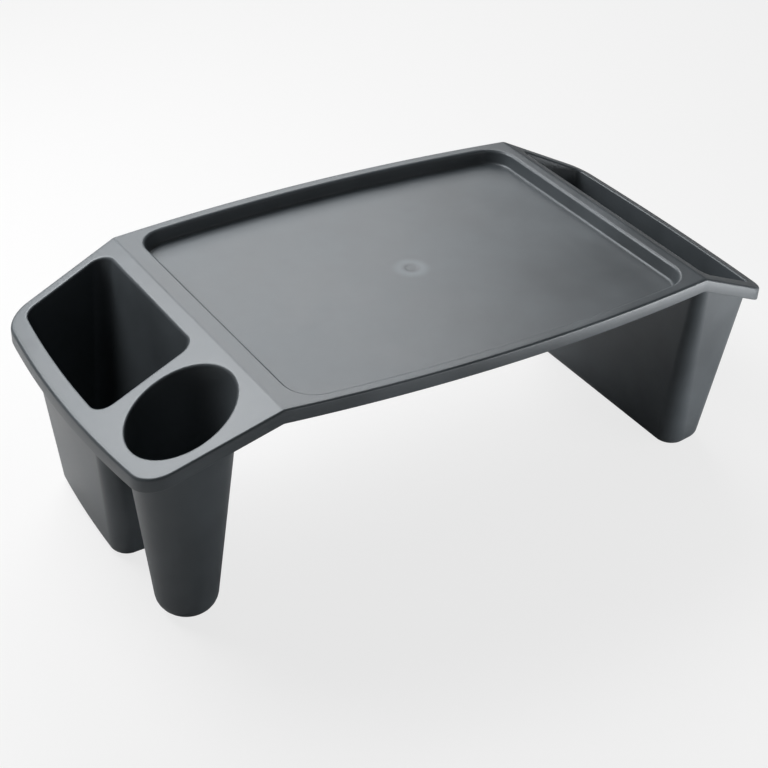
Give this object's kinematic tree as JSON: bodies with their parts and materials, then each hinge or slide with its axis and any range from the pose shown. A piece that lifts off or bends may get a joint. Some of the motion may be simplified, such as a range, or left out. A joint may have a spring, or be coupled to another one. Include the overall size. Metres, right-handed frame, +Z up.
{
  "type": "lap table",
  "caption": "Moulded lap table: a dished tray between two sloping wings whose deep pockets, a bin, a cup holder and a long slot, are its legs.",
  "frame": {"origin": "centre of the bounding box, on the surface that the table stands on", "axes": "+X along the length towards the long pocket, +Y away from the user, +Z up"},
  "size_m": [0.565, 0.295, 0.192],
  "materials": {
    "charcoal_plastic": "satin moulded polypropylene, fine grain, soft reflections"
  },
  "bodies": {
    "root": {"tray_floor": "charcoal_plastic", "tray_wall": "charcoal_plastic", "deck_border": "charcoal_plastic", "front_rim": "charcoal_plastic", "rear_rim": "charcoal_plastic", "left_wing": "charcoal_plastic", "right_wing": "charcoal_plastic", "left_rim": "charcoal_plastic", "right_rim": "charcoal_plastic", "storage_bin": "charcoal_plastic", "cup_holder": "charcoal_plastic", "side_pocket": "charcoal_plastic"}
  },
  "joints": []
}
